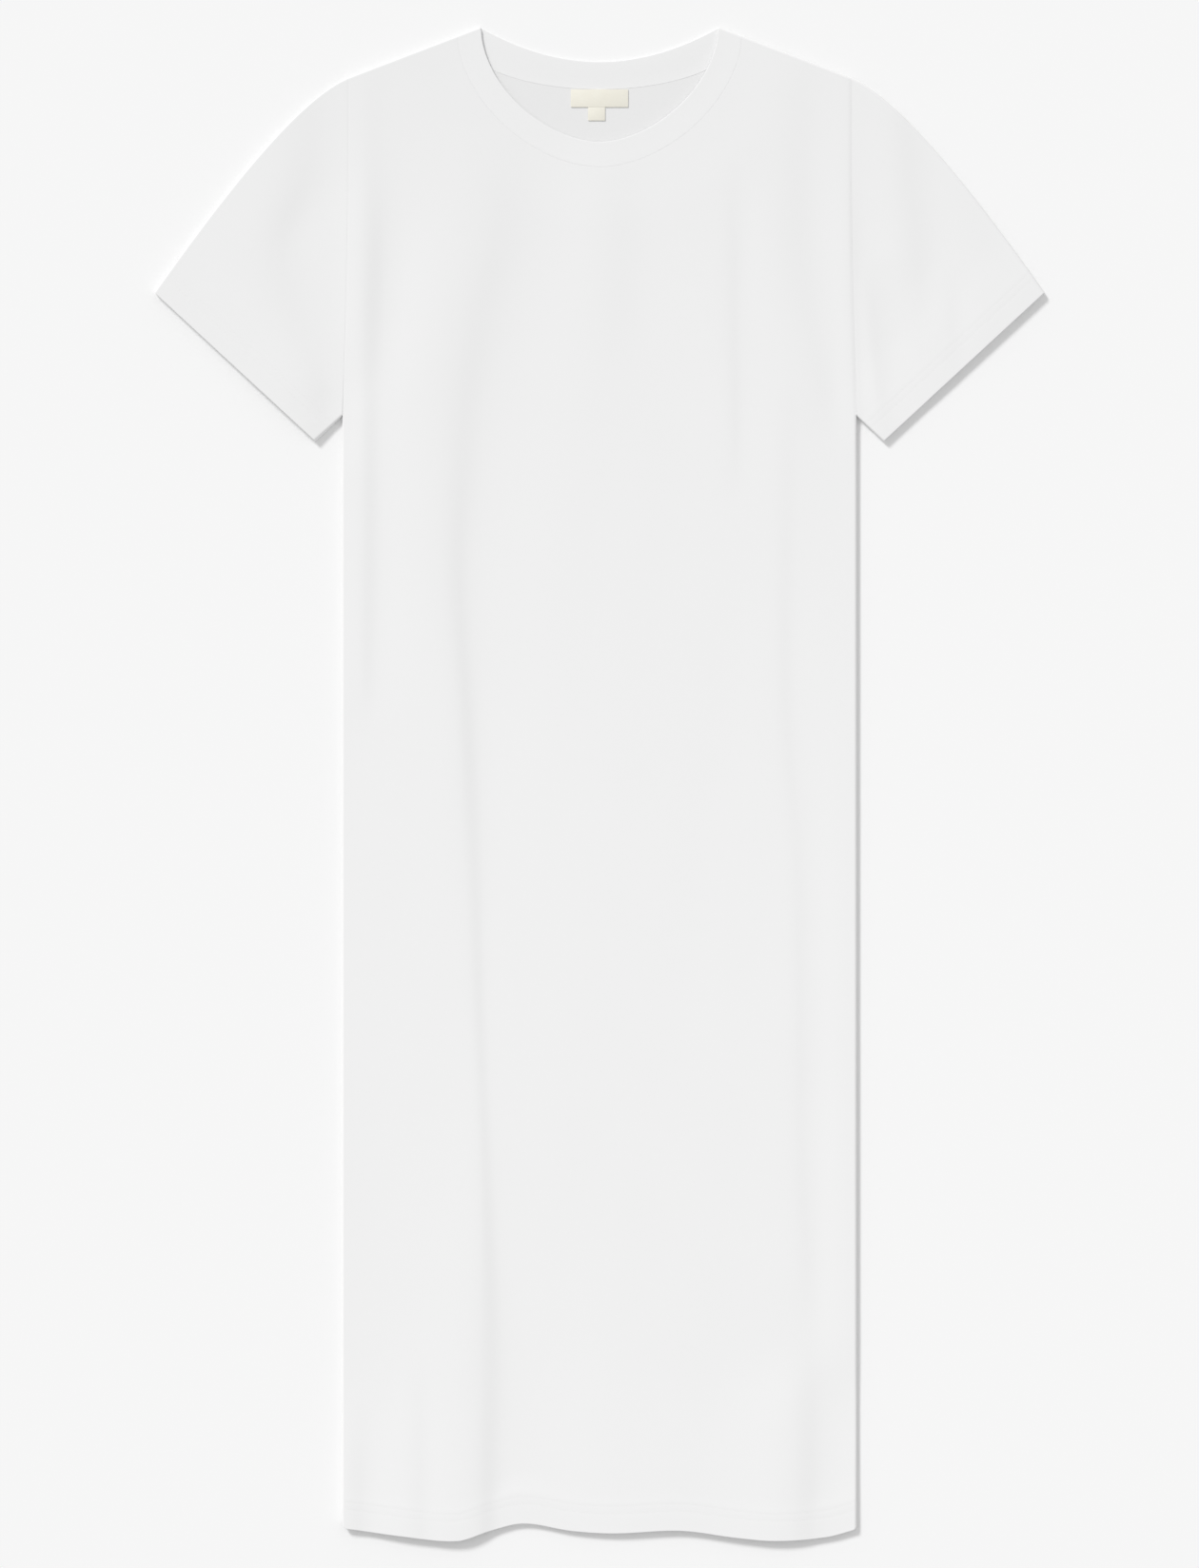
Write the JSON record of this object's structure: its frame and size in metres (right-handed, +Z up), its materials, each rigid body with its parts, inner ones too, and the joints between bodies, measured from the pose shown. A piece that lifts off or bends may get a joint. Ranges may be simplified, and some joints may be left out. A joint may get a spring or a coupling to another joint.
{
  "type": "t-shirt dress",
  "caption": "Short-sleeved crew-neck t-shirt dress in plain jersey, straight and midi length, laid flat on its back with soft lengthwise folds.",
  "frame": {"origin": "on the surface that the dress lies on, under the middle of its outline", "axes": "+X across the dress, to the right as seen from above with the neck away from the viewer; +Y from the hem to the neck; +Z up from the back to the front"},
  "size_m": [0.7278, 1.2411, 0.0075],
  "materials": {
    "white_jersey": "matt plain knit",
    "neckband_jersey": "matt plain knit, double",
    "label_tape": "smooth woven tape"
  },
  "bodies": {
    "root": {"front": "white_jersey", "back": "white_jersey", "sleeve_left": "white_jersey", "sleeve_right": "white_jersey", "neckband": "neckband_jersey", "main_label": "label_tape", "size_label": "label_tape"}
  },
  "joints": []
}
